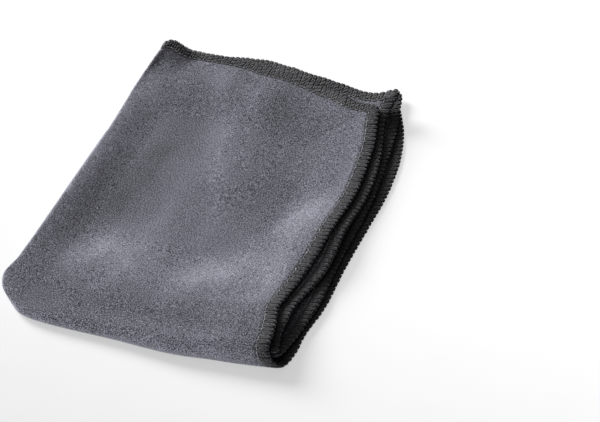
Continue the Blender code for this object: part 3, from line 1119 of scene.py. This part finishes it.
def floor_finish(studio):
    """Matt white paper with a trace of tooth.

    It throws light back at the packet from the front and the left, and none from the
    right, so the open hems lie in shade.
    """
    material, tree, shader = blank_material("white paper")
    spot = tree.nodes.new("ShaderNodeTexCoord").outputs["Object"]
    paper = mixed(tree, noise(tree, spot, PAPER_TOOTH, detail=3.0), *PAPER_GREYS)
    parts = tree.nodes.new("ShaderNodeSeparateXYZ")
    tree.links.new(spot, parts.inputs["Vector"])
    right, back = parts.outputs["X"], parts.outputs["Y"]
    leaning = maths(tree, "MULTIPLY_ADD", back, PAPER_SLANT, right)
    aside = maths(tree, "SUBTRACT", maths(tree, "ABSOLUTE", right), PACKET_HALF_X)
    beyond = maths(tree, "SUBTRACT", maths(tree, "ABSOLUTE", back), PACKET_HALF_Y)
    away = maths(tree, "MAXIMUM", aside, beyond)
    lit_side = ranged(tree, leaning, 0.0, LIGHT_FADES, studio.thrown, 0.0)
    clear = ranged(tree, away, 0.0, THROW_DISTANCE, 0.1, 1.0)
    thrown = maths(tree, "MULTIPLY", lit_side, clear)

    seen = tree.nodes.new("ShaderNodeLightPath").outputs["Is Camera Ray"]
    bounces = ranged(tree, leaning, 0.0, BOUNCE_FADES, 1.0, 0.05)
    bounces = maths(tree, "MAXIMUM", seen, bounces)
    tree.links.new(mixed(tree, bounces, (0.0, 0.0, 0.0), paper), shader.inputs["Base Color"])
    # For the camera the paper glows, weaker towards the front: a painted glow, with a broad painted
    # shadow in front of the packet
    glow = tree.nodes.new("ShaderNodeMix")
    tree.links.new(seen, glow.inputs["Factor"])
    tree.links.new(thrown, glow.inputs[2])
    tree.links.new(ranged(tree, back, *PAPER_GLOW_Y, *PAPER_GLOW), glow.inputs[3])
    tree.links.new(glow.outputs[0], shader.inputs["Emission Strength"])
    shader.inputs["Emission Color"].default_value = (1.0, 1.0, 1.0, 1.0)
    shader.inputs["Roughness"].default_value = 0.9
    shader.inputs["Specular IOR Level"].default_value = 0.1
    return material


class LaySheet(bpy.types.Operator):
    """Lay the sheet of the cloth in its folds"""

    bl_idname = "folded_cloth.lay_sheet"
    bl_label = "Lay sheet"

    def execute(self, context):
        scene = context.scene
        sizes, yarn, colours = scene.cloth_sizes, scene.cloth_yarn, scene.cloth_colours
        sheet = lay_sheet(sizes, fabric_finish(sizes, yarn, colours))
        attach(sheet, BODY)
        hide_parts(NODE)
        return {"FINISHED"}


class SewHem(bpy.types.Operator):
    """Sew the overlock stitches round the hem"""

    bl_idname = "folded_cloth.sew_hem"
    bl_label = "Sew hem"

    def execute(self, context):
        scene = context.scene
        sizes, yarn, colours = scene.cloth_sizes, scene.cloth_yarn, scene.cloth_colours
        bulky = yarn_finish("bulky yarn", colours.yarn_dark, colours.yarn_light, 3)
        # The needle yarn's light colour is a painted highlight
        thin = yarn_finish("needle yarn", colours.yarn_dark, colours.needle_painted_highlight, 2)
        loops = (sizes, yarn, yarn.half_width, yarn.half_height, bulky)
        needle = (sizes, yarn, yarn.needle_radius, yarn.needle_radius, thin)
        pieces = (
            sew("upper_looper_yarn", LOOPER_STITCH, 1, 0.0, *loops, SEED),
            sew("lower_looper_yarn", LOOPER_STITCH, -1, 0.3, *loops, SEED + 1),
            sew("upper_needle_yarn", NEEDLE_STITCH, 1, 0.0, *needle, SEED + 2),
            sew("lower_needle_yarn", NEEDLE_STITCH, -1, 0.5, *needle, SEED + 3),
        )
        for piece in pieces:
            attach(piece, BODY)
        return {"FINISHED"}


class SetStudio(bpy.types.Operator):
    """Set up the floor, the lights and the camera"""

    bl_idname = "folded_cloth.set_studio"
    bl_label = "Set studio"

    def execute(self, context):
        scene = context.scene
        studio = scene.cloth_studio
        deselect_all()
        bpy.ops.mesh.primitive_plane_add(size=studio.floor, location=(0.0, 0.0, 0.0))
        floor = context.active_object
        floor.name = "floor"
        floor.data.materials.append(floor_finish(studio))

        scene.world = bpy.data.worlds.new("studio")
        scene.world.use_nodes = True
        sky = scene.world.node_tree
        way = sky.nodes.new("ShaderNodeTexCoord").outputs["Generated"]
        facing = sky.nodes.new("ShaderNodeVectorMath")
        facing.operation = "DOT_PRODUCT"
        sky.links.new(way, facing.inputs[0])
        facing.inputs[1].default_value = SKY_SIDE
        strength = ranged(sky, facing.outputs["Value"], -0.2, 0.9, 0.0, studio.fill)
        sky.links.new(strength, sky.nodes["Background"].inputs["Strength"])
        sky.nodes["Background"].inputs["Color"].default_value = (1.0, 1.0, 1.0, 1.0)

        key = bpy.data.lights.new("key", "SUN")
        key.energy = studio.key
        key.angle = SUN_SPREAD
        lamp = bpy.data.objects.new("key", key)
        lamp.rotation_euler = SUN_TURN
        scene.collection.objects.link(lamp)

        camera = bpy.data.objects.new("camera", bpy.data.cameras.new("camera"))
        camera.data.sensor_width = SENSOR_WIDTH
        camera.data.lens = studio.lens
        camera.data.clip_end = FARTHEST_SEEN
        side = math.sin(studio.azimuth) * math.cos(studio.elevation)
        front = math.cos(studio.azimuth) * math.cos(studio.elevation)
        away = Vector((side, -front, math.sin(studio.elevation)))
        camera.location = Vector(studio.look_at) + away * studio.distance
        camera.rotation_mode = "QUATERNION"
        roll = Matrix.Rotation(studio.roll, 3, "Z").to_quaternion()
        camera.rotation_quaternion = away.to_track_quat("Z", "Y") @ roll
        scene.collection.objects.link(camera)
        scene.camera = camera
        scene.view_settings.view_transform = "Standard"
        return {"FINISHED"}


class ClothPanel(bpy.types.Panel):
    """Lists the steps in the 3D view's sidebar"""

    bl_idname = "VIEW3D_PT_folded_cloth"
    bl_label = "Folded cloth"
    bl_space_type = "VIEW_3D"
    bl_region_type = "UI"
    bl_category = "Folded cloth"

    def draw(self, context):
        for step in STEPS:
            self.layout.operator(step.bl_idname)


STEPS = (LaySheet, SewHem, SetStudio)
CLASSES = (ClothSizes, YarnSizes, FinishColours, StudioSizes, *STEPS, ClothPanel)
GROUPS = {
    "cloth_sizes": ClothSizes,
    "cloth_yarn": YarnSizes,
    "cloth_colours": FinishColours,
    "cloth_studio": StudioSizes,
}


def register():
    """Adds the classes, and their settings to the scene."""
    for kind in CLASSES:
        bpy.utils.register_class(kind)
    for name, kind in GROUPS.items():
        setattr(bpy.types.Scene, name, PointerProperty(type=kind))


def unregister():
    """Takes them away again."""
    for name in GROUPS:
        delattr(bpy.types.Scene, name)
    for kind in reversed(CLASSES):
        bpy.utils.unregister_class(kind)


def main():
    """Builds the cloth on its stage."""
    register()
    bpy.ops.folded_cloth.lay_sheet()
    bpy.ops.folded_cloth.sew_hem()
    bpy.ops.folded_cloth.set_studio()


if __name__ == "__main__":
    main()
